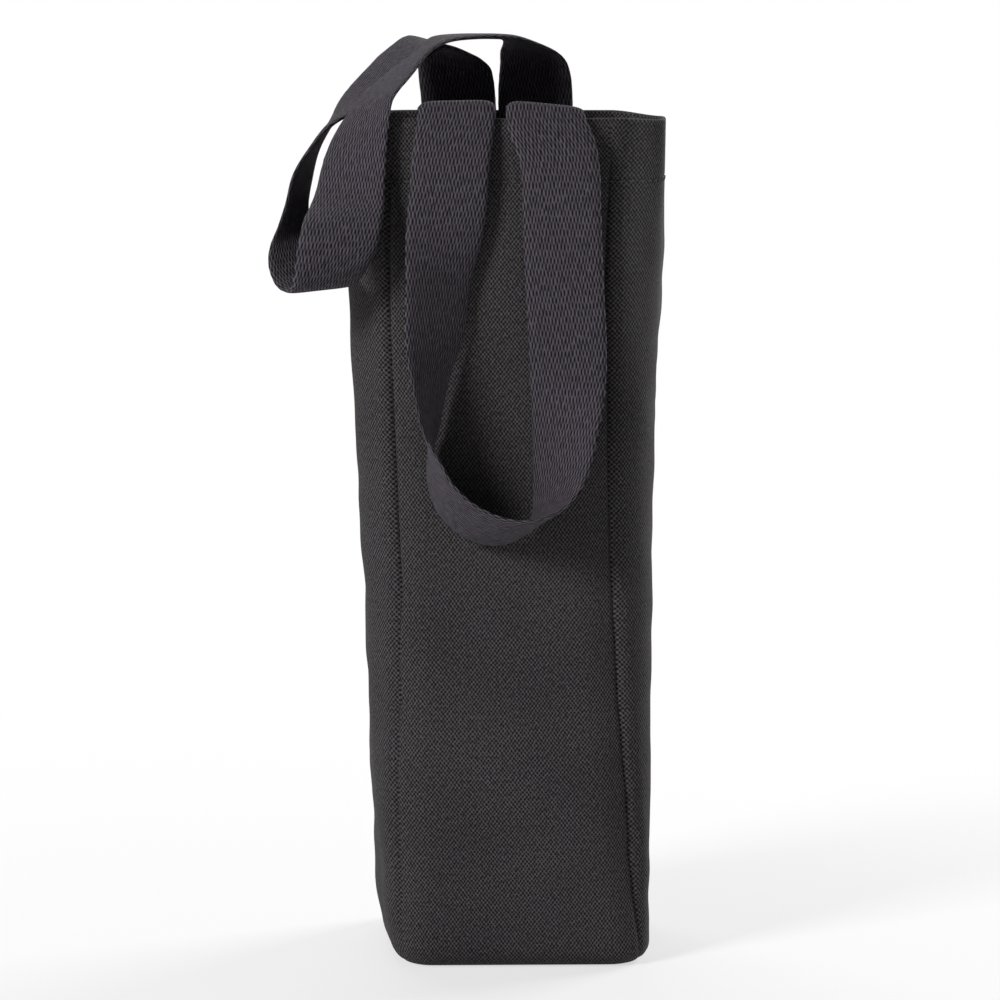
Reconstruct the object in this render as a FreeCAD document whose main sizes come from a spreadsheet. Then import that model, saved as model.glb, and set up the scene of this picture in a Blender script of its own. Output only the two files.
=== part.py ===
import FreeCAD, Part
import math
import os
import Sketcher

# A soft canvas bottle carrier: a strip of canvas runs down the front, under the base and
# up the back, two side gussets close it, and two webbing handles are sewn inside the
# turned hem.  +X is to the right seen from the front, the front looks along -Y, and the
# origin is the middle of the base on the floor.

doc = FreeCAD.newDocument("bottle_carrier")
sheet = doc.addObject("Spreadsheet::Sheet", "Sizes")

sizes = (
    ("rim_height", 280.0, "mouth above the floor"),
    ("rim_width", 103.0, "outside, across the gussets"),
    ("rim_depth", 80.0, "outside, front to back"),
    ("rim_corner", 12.5, "corner radius at the mouth"),
    ("shoulder_height", 221.0, "level of the fullest width"),
    ("shoulder_width", 102.4, ""),
    ("shoulder_depth", 88.0, ""),
    ("shoulder_corner", 24.0, ""),
    ("waist_height", 134.0, "half-way level"),
    ("waist_width", 97.0, ""),
    ("waist_depth", 90.0, ""),
    ("waist_corner", 24.0, ""),
    ("low_height", 55.0, "level above the base corners"),
    ("low_width", 93.4, ""),
    ("low_depth", 90.0, ""),
    ("low_corner", 19.0, ""),
    ("base_width", 91.0, ""),
    ("base_depth", 88.0, ""),
    ("base_corner", 15.0, ""),
    ("base_edge_radius", 11.0, "round between the walls and the base"),
    ("least_corner", 1.5, "smallest corner left by an inset"),
    ("canvas_thickness", 1.0, "one layer of canvas"),
    ("hem_height", 22.0, "turned-in hem at the mouth"),
    ("seam_allowance", 8.0, "canvas left inside each seam"),
    ("seam_half_top", 35.5, "seam from the middle, at the mouth"),
    ("seam_half_base", 39.5, "seam from the middle, at the base"),
    ("webbing_width", 25.4, "handle webbing"),
    ("webbing_thickness", 2.0, ""),
    ("strap_offset", 15.0, "handle end from the middle"),
    ("tab_length", 28.0, "handle end sewn below the rim"),
    ("seat_gap", 0.3, "handle end to hem"),
    ("fold_gap", 0.8, "front panel to folded handle at the rim"),
    ("fold_rise", 0.3, "fold centre above the rim"),
    ("bend_gap", 0.8, "rim to the back handle when it is laid back"),
    ("hang_gap", 0.6, "front panel to hanging handle"),
    ("front_handle_drop", 132.7, "rim fold to the lowest middle line"),
    ("back_handle_drop", 54.0, "rim to the lowest middle line"),
    ("stitch_drop", 20.0, "hem stitching below the rim"),
    ("stitch_pitch", 3.4, "stitch to stitch"),
    ("stitch_length_share", 0.74, "thread showing, of the pitch"),
    ("thread_thickness", 0.45, ""),
    ("thread_gap", 0.02, "thread to canvas"),
    ("overrun", 5.0, "how far each cutter passes the piece it cuts"),
)
for row, (alias, value, note) in enumerate(sizes, start=1):
    sheet.set(f"A{row}", alias)
    sheet.set(f"B{row}", str(value))
    sheet.set(f"C{row}", note)
    sheet.setAlias(f"B{row}", alias)
doc.recompute()


def size(alias):
    return float(getattr(sheet, alias))


levels = ("base", "low", "waist", "shoulder", "rim")
corner_steps = 6
bend_steps = 4
level_steps = 3
loop_sections = 96


def origin_plane(body, role):
    for feature in body.Origin.OriginFeatures:
        if feature.Role == role:
            return feature
    raise ValueError(role)


def ring(breadth, depth, corner, inset, height):
    # A rectangle with round corners, centred on the axis and drawn in on every side.
    corner = max(corner - inset, size("least_corner"))
    reach_x = breadth / 2 - inset - corner
    reach_y = depth / 2 - inset - corner
    points = []
    for quarter, (side_x, side_y) in enumerate(((1, 1), (-1, 1), (-1, -1), (1, -1))):
        centre = FreeCAD.Vector(side_x * reach_x, side_y * reach_y, height)
        for step in range(corner_steps + 1):
            angle = (quarter + step / corner_steps) * math.pi / 2
            points.append(centre + FreeCAD.Vector(math.cos(angle), math.sin(angle), 0) * corner)
    return points


def ring_solid(rings):
    # A solid with flat facets from each ring of points to the next, closed at both ends.
    faces = []
    for lower, upper in zip(rings, rings[1:]):
        for number in range(len(lower)):
            near, far = lower[number - 1], lower[number]
            far_up, near_up = upper[number], upper[number - 1]
            faces.append(Part.Face(Part.makePolygon([near, far, far_up, near])))
            faces.append(Part.Face(Part.makePolygon([near, far_up, near_up, near])))
    for end in (rings[0], rings[-1]):
        faces.append(Part.Face(Part.makePolygon([*end, end[0]])))
    solid = Part.Solid(Part.Shell(faces))
    if solid.Volume < 0:
        solid.reverse()
    return solid


def wall_curve(foot, stand):
    # Width, depth and corner of the wall by height, smooth through the named levels.
    heights = [foot]
    outlines = []
    for level in levels:
        if level != "base":
            heights.append(size(f"{level}_height"))
        outlines.append(
            FreeCAD.Vector(
                size(f"{level}_width"),
                size(f"{level}_depth") - 2 * stand,
                size(f"{level}_corner"),
            )
        )
    wall = Part.BSplineCurve()
    wall.interpolate(Points=outlines, Parameters=heights)
    return heights, outlines, wall


def soft_form(name, layers, allowances, past_rim=False):
    # The bag's outer shape, or that shape drawn in by layers of canvas, and drawn in
    # again from the front, back and base by the allowances that stand there.
    inset = layers * size("canvas_thickness")
    stand = allowances * size("seam_allowance")
    bend = max(size("base_edge_radius") - inset, size("least_corner"))
    heights, outlines, wall = wall_curve(inset + stand + bend, stand)
    rings = []
    for step in range(bend_steps):
        lean = step / bend_steps * math.pi / 2
        drawn = inset + bend * (1 - math.sin(lean))
        rings.append(ring(*outlines[0], drawn, heights[0] - bend * math.cos(lean)))
    for lower, upper in zip(heights, heights[1:]):
        for step in range(level_steps):
            height = lower + (upper - lower) * step / level_steps
            rings.append(ring(*wall.value(height), inset, height))
    rings.append(ring(*outlines[-1], inset, heights[-1]))
    if past_rim:
        rings.append(ring(*outlines[-1], inset, heights[-1] + size("overrun")))
    form = doc.addObject("Part::Feature", name)
    form.Shape = ring_solid(rings).removeSplitter()
    form.Placement = FreeCAD.Placement()
    return form


def boolean(kind, name, base, tool):
    result = doc.addObject(f"Part::{kind}", name)
    result.Base = base
    result.Tool = tool
    return result


def tapered_slab(name, low_from, low_to, top_from, top_to):
    # A slab between two seam lines, right through the bag from front to back.
    slab = doc.addObject("Part::Wedge", name)
    reach = "(max(Sizes.waist_depth; Sizes.low_depth; Sizes.shoulder_depth) / 2 + Sizes.overrun)"
    for prop, value in (
        ("Xmin", low_from), ("Xmax", low_to), ("X2min", top_from), ("X2max", top_to),
        ("Ymin", "-Sizes.overrun"), ("Ymax", "Sizes.rim_height + Sizes.overrun"),
        ("Zmin", f"-{reach}"), ("Zmax", reach), ("Z2min", f"-{reach}"), ("Z2max", reach),
    ):
        slab.setExpression(prop, value)
    upright = FreeCAD.Rotation(FreeCAD.Vector(1, 0, 0), 90)
    slab.Placement = FreeCAD.Placement(FreeCAD.Vector(0, 0, 0), upright)
    return slab


canvas = "Sizes.canvas_thickness"
outer_form = soft_form("outer_form", 0, 0)
inner_form = soft_form("inner_form", 1, 0)
core_form = soft_form("core_form", 1, 1)
hem_form = soft_form("hem_form", 2, 0, past_rim=True)

# Below the hem the wall is one layer of canvas, and the seam allowances stand inside it.
below_hem = doc.addObject("Part::Box", "below_hem")
below_hem.setExpression("Length", "max(Sizes.rim_width; Sizes.shoulder_width) + 2 * Sizes.overrun")
below_hem.setExpression("Width", "max(Sizes.waist_depth; Sizes.low_depth) + 2 * Sizes.overrun")
below_hem.setExpression("Height", "Sizes.rim_height - Sizes.hem_height + Sizes.overrun")
below_hem.setExpression("Placement.Base.x", "-below_hem.Length / 2")
below_hem.setExpression("Placement.Base.y", "-below_hem.Width / 2")
below_hem.setExpression("Placement.Base.z", "-Sizes.overrun")

seam_base = "Sizes.seam_half_base"
seam_top = "Sizes.seam_half_top"
side_reach = "(max(Sizes.rim_width; Sizes.shoulder_width; Sizes.waist_width; Sizes.base_width) / 2"
side_reach += " + Sizes.overrun)"
right_allowance = tapered_slab(
    "right_allowance",
    f"{seam_base} - {canvas}", f"{seam_base} + {canvas}",
    f"{seam_top} - {canvas}", f"{seam_top} + {canvas}",
)
left_allowance = tapered_slab(
    "left_allowance",
    f"-{seam_base} - {canvas}", f"-{seam_base} + {canvas}",
    f"-{seam_top} - {canvas}", f"-{seam_top} + {canvas}",
)
strip_slab = tapered_slab("strip_slab", f"-{seam_base}", seam_base, f"-{seam_top}", seam_top)
right_slab = tapered_slab("right_slab", seam_base, side_reach, seam_top, side_reach)
left_slab = tapered_slab("left_slab", f"-{side_reach}", f"-{seam_base}", f"-{side_reach}", f"-{seam_top}")

allowances = boolean("Fuse", "allowances", left_allowance, right_allowance)
standing = boolean("Cut", "standing_allowances", allowances, core_form)
wide_cavity = boolean("Common", "wide_cavity", inner_form, below_hem)
lower_cavity = boolean("Cut", "lower_cavity", wide_cavity, standing)
hem_cavity = boolean("Cut", "hem_cavity", hem_form, below_hem)
open_below = boolean("Cut", "open_below", outer_form, lower_cavity)
canvas_shell = boolean("Cut", "canvas_shell", open_below, hem_cavity)
body_panel = boolean("Common", "body_panel", canvas_shell, strip_slab)
left_gusset = boolean("Common", "left_gusset", canvas_shell, left_slab)
right_gusset = boolean("Common", "right_gusset", canvas_shell, right_slab)
doc.recompute()

# Handle ends.  Each is a strip of webbing seated on the inside of the hem; the front
# ones turn over the rim, the back ones run straight up to where the handle bends.
hem_depth = "min(Sizes.rim_depth; Sizes.shoulder_depth)"
tab_face = f"({hem_depth} / 2 - 2 * Sizes.canvas_thickness - Sizes.seat_gap)"
leg_face = "(Sizes.rim_depth / 2 + Sizes.fold_gap)"
back_rise = "(Sizes.webbing_thickness / 2 + Sizes.bend_gap)"


hem_half = min(size("rim_depth"), size("shoulder_depth")) / 2


def fix_point(sketch, edge, end, across, up):
    # Holds one point of a sketch at two distances from its origin.
    for kind, value in (("DistanceX", across), ("DistanceY", up)):
        current = sketch.getPoint(edge, end)
        start = current.x if kind == "DistanceX" else current.y
        number = sketch.addConstraint(Sketcher.Constraint(kind, -1, 1, edge, end, start))
        sketch.setExpression(f"Constraints[{number}]", value)


def side_profile(body):
    sketch = body.newObject("Sketcher::SketchObject", f"{body.Name}_profile")
    sketch.AttachmentSupport = (origin_plane(body, "YZ_Plane"), [""])
    sketch.MapMode = "FlatFace"
    return sketch


def pad_to_width(body, sketch, centre):
    pad = body.newObject("PartDesign::Pad", f"{body.Name}_pad")
    pad.Profile = sketch
    pad.Midplane = True
    pad.setExpression("Length", "Sizes.webbing_width")
    body.setExpression("Placement.Base.x", centre)
    return body


def back_end(name, centre):
    body = doc.addObject("PartDesign::Body", name)
    sketch = side_profile(body)
    inner = hem_half - size("tab_length")
    outer = inner + size("webbing_thickness")
    low = size("rim_height") - size("tab_length")
    top = size("rim_height")
    spots = ((inner, low), (outer, low), (outer, top), (inner, top))
    for number in range(4):
        start = FreeCAD.Vector(*spots[number], 0)
        end = FreeCAD.Vector(*spots[(number + 1) % 4], 0)
        sketch.addGeometry(Part.LineSegment(start, end))
    for number in range(4):
        sketch.addConstraint(Sketcher.Constraint("Coincident", number, 2, (number + 1) % 4, 1))
    for number in (0, 2):
        sketch.addConstraint(Sketcher.Constraint("Horizontal", number))
        sketch.addConstraint(Sketcher.Constraint("Vertical", number + 1))
    fix_point(sketch, 0, 1, f"{tab_face} - Sizes.webbing_thickness", "Sizes.rim_height - Sizes.tab_length")
    fix_point(sketch, 1, 2, tab_face, f"Sizes.rim_height + {back_rise}")
    return pad_to_width(body, sketch, centre)


def front_end(name, centre):
    # In this profile the front wall lies at negative distances from the axis.
    body = doc.addObject("PartDesign::Body", name)
    sketch = side_profile(body)
    wall = size("webbing_thickness")
    tab = -(hem_half - 2 * size("canvas_thickness") - size("seat_gap"))
    leg = -(size("rim_depth") / 2 + size("fold_gap"))
    low = size("rim_height") - size("tab_length")
    fold = size("rim_height") + size("fold_rise")
    middle = (tab + leg) / 2
    small = (tab - leg) / 2
    centre_point = FreeCAD.Vector(middle, fold, 0)
    up = FreeCAD.Vector(0, 0, 1)

    def line(a, b):
        sketch.addGeometry(Part.LineSegment(FreeCAD.Vector(*a, 0), FreeCAD.Vector(*b, 0)))

    line((tab, fold), (tab, low))
    line((tab, low), (tab + wall, low))
    line((tab + wall, low), (tab + wall, fold))
    sketch.addGeometry(Part.ArcOfCircle(Part.Circle(centre_point, up, small + wall), 0, math.pi))
    line((leg - wall, fold), (leg, fold))
    sketch.addGeometry(Part.ArcOfCircle(Part.Circle(centre_point, up, small), 0, math.pi))
    for pair in ((0, 2, 1, 1), (1, 2, 2, 1), (2, 2, 3, 1), (3, 2, 4, 1), (4, 2, 5, 2), (5, 1, 0, 1)):
        sketch.addConstraint(Sketcher.Constraint("Coincident", *pair))
    for arc in (3, 5):
        sketch.addConstraint(Sketcher.Constraint("Horizontal", arc, 3, arc, 1))
    fix_point(sketch, 0, 1, f"-{tab_face}", "Sizes.rim_height + Sizes.fold_rise")
    fix_point(sketch, 0, 2, f"-{tab_face}", "Sizes.rim_height - Sizes.tab_length")
    fix_point(sketch, 1, 2, f"-{tab_face} + Sizes.webbing_thickness", "Sizes.rim_height - Sizes.tab_length")
    fix_point(sketch, 2, 2, f"-{tab_face} + Sizes.webbing_thickness", "Sizes.rim_height + Sizes.fold_rise")
    fix_point(sketch, 4, 1, f"-{leg_face} - Sizes.webbing_thickness", "Sizes.rim_height + Sizes.fold_rise")
    fix_point(sketch, 4, 2, f"-{leg_face}", "Sizes.rim_height + Sizes.fold_rise")
    return pad_to_width(body, sketch, centre)


front_left = front_end("front_handle_left_end", "-Sizes.strap_offset")
front_right = front_end("front_handle_right_end", "Sizes.strap_offset")
back_left = back_end("back_handle_left_end", "-Sizes.strap_offset")
back_right = back_end("back_handle_right_end", "Sizes.strap_offset")
doc.recompute()


def webbing_loop(name, middles, turns, tilts):
    # A strap lofted through sections along its middle line.  A turn of 0 lays the width
    # across the bag, 90 stands it out from the front, and a tilt lifts the edge.
    line = Part.BSplineCurve()
    line.interpolate(middles)
    marks = [line.parameter(middle) for middle in middles]
    lay = Part.BSplineCurve()
    lay.interpolate(
        Points=[FreeCAD.Vector(*station) for station in zip(turns, tilts, marks)],
        Parameters=marks,
    )
    half_wide = size("webbing_width") / 2
    half_thick = size("webbing_thickness") / 2
    sections = []
    for number in range(loop_sections + 1):
        place = line.parameterAtDistance(line.length() * number / loop_sections, marks[0])
        middle = line.value(place)
        turn = math.radians(lay.value(place).x)
        tilt = math.radians(lay.value(place).y)
        run = FreeCAD.Vector(*line.tangent(place)[0])
        if number in (0, loop_sections):
            run = FreeCAD.Vector(0, 0, run.z).normalize()
        wide = FreeCAD.Vector(
            -math.cos(turn) * math.cos(tilt),
            -math.sin(turn) * math.cos(tilt),
            math.sin(tilt),
        )
        wide = (wide - run * wide.dot(run)).normalize()
        thick = run.cross(wide)
        corners = []
        for across, through in ((1, 1), (1, -1), (-1, -1), (-1, 1)):
            corners.append(middle + wide * half_wide * across + thick * half_thick * through)
        sections.append(corners)
    loop = doc.addObject("Part::Feature", name)
    loop.Shape = ring_solid(sections)
    loop.Placement = FreeCAD.Placement()
    plain = size("webbing_width") * size("webbing_thickness") * line.length()
    print(name, "middle line", round(line.length(), 1), "mm, volume to plain strap",
          round(loop.Shape.Volume / plain, 3))
    return loop


# Front handle: it hangs down the front and its bend stands out on edge.  Each row gives
# the place across as a share of the strap offset, the drop as a share of the handle's
# drop, its turn and its tilt.
front_route_shares = (
    (-1.00, 0.000, 0, 0), (-1.10, 0.108, 0, 0), (-1.25, 0.273, 4, 0),
    (-1.43, 0.440, 10, 0), (-1.57, 0.567, 22, 1), (-1.64, 0.673, 42, 3),
    (-1.63, 0.756, 68, 8), (-1.53, 0.835, 90, 13), (-1.29, 0.917, 101, 18),
    (-0.85, 0.977, 104, 22), (-0.23, 1.000, 101, 22), (0.37, 0.990, 104, 19),
    (0.85, 0.957, 112, 15), (1.14, 0.900, 125, 12), (1.28, 0.816, 142, 9),
    (1.35, 0.703, 156, 6), (1.35, 0.567, 167, 3), (1.31, 0.432, 173, 0),
    (1.22, 0.258, 177, 0), (1.12, 0.108, 179, 0), (1.00, 0.000, 180, 0),
)
fold_height = size("rim_height") + size("fold_rise")
rim_line = size("rim_depth") / 2 + size("fold_gap") + size("webbing_thickness") / 2
wall_heights, wall_outlines, wall = wall_curve(size("base_edge_radius"), 0)
front_middles = []
for across, drop, turn, tilt in front_route_shares:
    height = fold_height - drop * size("front_handle_drop")
    wall_half = wall.value(min(max(height, wall_heights[0]), wall_heights[-1])).y / 2
    stand = abs(math.sin(math.radians(turn))) * math.cos(math.radians(tilt)) * size("webbing_width") / 2
    out = max(rim_line, wall_half + size("hang_gap") + size("webbing_thickness") / 2) + stand
    front_middles.append(FreeCAD.Vector(across * size("strap_offset"), -out, height))
front_loop = webbing_loop(
    "front_handle_loop",
    front_middles,
    [row[2] for row in front_route_shares],
    [row[3] for row in front_route_shares],
)

# Back handle: it has fallen forward over the mouth and hangs at the front left corner.
# Each row gives the place across as a share of the half width, front to back as a share
# of the half depth, the rise as a share of the handle's drop, its turn and its tilt.
back_route_shares = (
    (-0.320, 0.920, 0.190, -1, 4), (-0.360, 0.840, 0.335, -6, 17), (-0.465, 0.610, 0.345, -25, 22),
    (-0.610, 0.335, 0.290, -44, 18), (-0.765, 0.125, 0.213, -57, 11), (-0.920, -0.020, 0.115, -67, 5),
    (-1.050, -0.115, 0.035, -76, 0), (-1.150, -0.160, -0.105, -85, 0), (-1.250, -0.200, -0.255, -93, 0),
    (-1.325, -0.265, -0.415, -102, -1), (-1.360, -0.400, -0.585, -114, -2),
    (-1.345, -0.585, -0.740, -132, -3), (-1.300, -0.790, -0.880, -152, -3),
    (-1.230, -1.000, -0.980, -167, 0), (-1.165, -1.175, -1.000, -173, 2),
    (-1.120, -1.305, -0.955, -176, 2), (-1.075, -1.345, -0.850, -177, 0),
    (-1.037, -1.310, -0.710, -178, 0), (-1.010, -1.245, -0.570, -181, 0),
    (-0.980, -1.160, -0.385, -190, 0), (-0.945, -1.075, -0.200, -202, 2),
    (-0.905, -0.985, 0.000, -215, 6), (-0.845, -0.830, 0.115, -219, 8), (-0.750, -0.600, 0.190, -217, 12),
    (-0.650, -0.390, 0.260, -216, 11), (-0.545, -0.190, 0.345, -217, 8), (-0.430, 0.000, 0.415, -219, 3),
    (-0.305, 0.225, 0.435, -222, 1), (-0.120, 0.460, 0.435, -222, 0), (0.075, 0.670, 0.420, -214, 0),
    (0.235, 0.830, 0.315, -196, 0), (0.285, 0.910, 0.160, -184, 0),
)
half_width = max(size("rim_width"), size("shoulder_width")) / 2
half_depth = hem_half
tab_line = hem_half - 2 * size("canvas_thickness") - size("seat_gap") - size("webbing_thickness") / 2
bend_height = size("rim_height") + size("webbing_thickness") / 2 + size("bend_gap")
back_middles = [FreeCAD.Vector(-size("strap_offset"), tab_line, bend_height)]
for across, along, rise, turn, tilt in back_route_shares:
    back_middles.append(
        FreeCAD.Vector(
            across * half_width,
            along * half_depth,
            bend_height + rise * size("back_handle_drop"),
        )
    )
back_middles.append(FreeCAD.Vector(size("strap_offset"), tab_line, bend_height))
back_loop = webbing_loop(
    "back_handle_loop",
    back_middles,
    [0] + [row[3] for row in back_route_shares] + [-180],
    [0] + [row[4] for row in back_route_shares] + [0],
)

# Hem stitching: one row of separate stitches laid round the outside of the mouth.
stitch_height = size("rim_height") - size("stitch_drop")
stitch_line = outer_form.Shape.slice(FreeCAD.Vector(0, 0, 1), stitch_height)[0]
stitch_count = round(stitch_line.Length / size("stitch_pitch"))
stitch_run = stitch_line.Length / stitch_count * size("stitch_length_share")
thread = size("thread_thickness")
path = stitch_line.discretize(Number=2 * stitch_count + 1)
stitches = []
for number in range(stitch_count):
    before, spot, after = path[2 * number], path[2 * number + 1], path[(2 * number + 2) % len(path)]
    run = (after - before).normalize()
    outward = run.cross(FreeCAD.Vector(0, 0, 1)).normalize()
    if outward.dot(spot - FreeCAD.Vector(0, 0, stitch_height)) < 0:
        outward = outward * -1
    corner = spot - run * (stitch_run / 2) + outward * size("thread_gap")
    corner = corner - FreeCAD.Vector(0, 0, thread / 2)
    bar = Part.Face(
        Part.makePolygon(
            [
                corner,
                corner + run * stitch_run,
                corner + run * stitch_run + outward * thread,
                corner + outward * thread,
                corner,
            ]
        )
    )
    stitches.append(bar.extrude(FreeCAD.Vector(0, 0, thread)))
hem_stitching = doc.addObject("Part::Feature", "hem_stitching")
hem_stitching.Shape = Part.makeCompound(stitches)
hem_stitching.Placement = FreeCAD.Placement()
doc.recompute()

sub_parts = (
    body_panel, left_gusset, right_gusset,
    front_left, front_right, front_loop,
    back_left, back_right, back_loop,
    hem_stitching,
)
for item in doc.Objects:
    if "Invalid" in item.State or "Error" in item.State:
        raise RuntimeError(f"{item.Name}: {item.State}")
for item in sub_parts:
    if item.Shape.isNull() or not item.Shape.isValid():
        raise RuntimeError(f"{item.Label} has no valid shape")
    if not item.Shape.Solids:
        raise RuntimeError(f"{item.Label} has no solid")

os.makedirs("parts", exist_ok=True)
for item in sub_parts:
    item.Shape.exportStep(f"parts/{item.Label}.step")
    box = item.Shape.BoundBox
    print(item.Label, len(item.Shape.Solids), "solids", round(item.Shape.Volume, 1), "mm3", box)
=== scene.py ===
import math

import bmesh
import bpy
from mathutils import Matrix, Vector, noise
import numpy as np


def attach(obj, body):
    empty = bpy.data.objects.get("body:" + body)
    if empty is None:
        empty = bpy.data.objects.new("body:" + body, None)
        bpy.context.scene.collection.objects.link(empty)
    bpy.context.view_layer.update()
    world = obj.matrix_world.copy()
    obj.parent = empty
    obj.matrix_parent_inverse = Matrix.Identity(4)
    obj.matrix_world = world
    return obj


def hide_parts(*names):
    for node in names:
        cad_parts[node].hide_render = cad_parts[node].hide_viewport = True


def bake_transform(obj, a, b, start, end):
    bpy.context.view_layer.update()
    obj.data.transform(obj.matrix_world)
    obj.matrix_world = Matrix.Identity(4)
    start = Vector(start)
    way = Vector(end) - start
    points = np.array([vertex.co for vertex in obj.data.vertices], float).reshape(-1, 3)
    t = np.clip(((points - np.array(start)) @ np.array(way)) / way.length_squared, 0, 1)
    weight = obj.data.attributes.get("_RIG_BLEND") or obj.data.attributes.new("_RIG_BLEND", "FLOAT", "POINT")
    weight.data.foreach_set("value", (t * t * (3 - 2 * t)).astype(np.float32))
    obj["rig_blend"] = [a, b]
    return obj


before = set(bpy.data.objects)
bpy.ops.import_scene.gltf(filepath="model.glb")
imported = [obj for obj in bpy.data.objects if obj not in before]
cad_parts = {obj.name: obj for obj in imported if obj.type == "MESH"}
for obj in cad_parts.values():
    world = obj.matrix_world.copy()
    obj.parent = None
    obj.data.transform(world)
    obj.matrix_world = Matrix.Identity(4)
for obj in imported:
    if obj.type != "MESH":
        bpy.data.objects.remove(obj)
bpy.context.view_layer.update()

mm = 0.001

camera = {
    "place": (-2.2, -1500, 333.5),      # mm
    "pitchDown": 6.948,                 # degrees
    "focalPixels": 4498.1,
    "framePixels": 1000,
    "sensor": 36,
    "reach": 20,                        # metres
}


def makeCamera():
    data = bpy.data.cameras.new("camera")
    data.sensor_width = camera["sensor"]
    data.lens = camera["sensor"] * camera["focalPixels"] / camera["framePixels"]
    data.clip_end = camera["reach"]
    eye = bpy.data.objects.new("camera", data)
    eye.location = Vector(camera["place"]) * mm
    eye.rotation_euler = (math.radians(90 - camera["pitchDown"]), 0, 0)
    bpy.context.collection.objects.link(eye)
    bpy.context.scene.camera = eye
    return eye


def pixelPoint(u, v, depth):
    # the place, depth mm behind the middle of the bag, that shows at a pixel
    pitch = math.radians(camera["pitchDown"])
    forward = Vector((0, math.cos(pitch), -math.sin(pitch)))
    upward = Vector((0, math.sin(pitch), math.cos(pitch)))
    middle = camera["framePixels"] / 2
    ray = forward * camera["focalPixels"] + Vector((u - middle, 0, 0)) - upward * (v - middle)
    eye = Vector(camera["place"])
    return (eye + ray * ((depth - eye.y) / ray.y)) * mm


def smoothAt(table, key):
    # values of a table at a key, on a smooth curve through its rows
    rows = sorted(table)
    if key <= rows[0][0]:
        return rows[0][1:]
    if key >= rows[-1][0]:
        return rows[-1][1:]
    spot = max(i for i in range(len(rows) - 1) if rows[i][0] <= key)
    before = rows[max(spot - 1, 0)]
    here = rows[spot]
    after = rows[spot + 1]
    later = rows[min(spot + 2, len(rows) - 1)]
    span = after[0] - here[0]
    t = (key - here[0]) / span
    values = []
    for i in range(1, len(here)):
        slopeHere = (after[i] - before[i]) / (after[0] - before[0]) * span
        slopeAfter = (later[i] - here[i]) / (later[0] - here[0]) * span
        values.append(
            (2 * t ** 3 - 3 * t ** 2 + 1) * here[i] + (t ** 3 - 2 * t ** 2 + t) * slopeHere
            + (3 * t ** 2 - 2 * t ** 3) * after[i] + (t ** 3 - t ** 2) * slopeAfter
        )
    return tuple(values)


def smoothStep(low, high, value):
    t = min(max((value - low) / (high - low), 0), 1)    # low may lie above high, for a fall
    return t * t * (3 - 2 * t)


def finishPiece(name, bm, material, smooth=True):
    mesh = bpy.data.meshes.new(name)
    bm.to_mesh(mesh)
    bm.free()
    piece = bpy.data.objects.new(name, mesh)
    bpy.context.collection.objects.link(piece)
    mesh.materials.append(material)
    if smooth:
        mesh.polygons.foreach_set("use_smooth", [True] * len(mesh.polygons))
    return piece


def calc(tree, operation, first, second=None):
    node = tree.nodes.new("ShaderNodeMath")
    node.operation = operation
    for socket, value in zip(node.inputs, (first, second)):
        if value is None:
            continue
        if isinstance(value, (int, float)):
            socket.default_value = value
        else:
            tree.links.new(value, socket)
    return node.outputs[0]


def newGroup(name, inputs, outputs):
    tree = bpy.data.node_groups.new(name, "ShaderNodeTree")
    for label, kind in inputs:
        tree.interface.new_socket(label, in_out="INPUT", socket_type=kind)
    for label in outputs:
        tree.interface.new_socket(label, in_out="OUTPUT", socket_type="NodeSocketFloat")
    entry = tree.nodes.new("NodeGroupInput")
    leave = tree.nodes.new("NodeGroupOutput")
    return tree, entry, leave


def noiseAt(tree, vector, scale, detail=2.0):
    node = tree.nodes.new("ShaderNodeTexNoise")
    node.inputs["Scale"].default_value = scale
    node.inputs["Detail"].default_value = detail
    tree.links.new(vector, node.inputs["Vector"])
    return node.outputs[0]


def joined(tree, x, y):
    node = tree.nodes.new("ShaderNodeCombineXYZ")
    for socket, value in ((node.inputs[0], x), (node.inputs[1], y)):
        tree.links.new(value, socket)
    return node.outputs[0]


weaveForm = {                          # scales are in repeats of the weave
    "driftScale": 0.21, "drift": 0.55,
    "bowScale": 0.17, "bow": 1.2,
    "unevenScale": 1.1, "uneven": 1.3,
    "slubScale": 0.6, "slubDetail": 3.0,
    "contrast": 0.75, "middle": 0.5,
}


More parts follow.
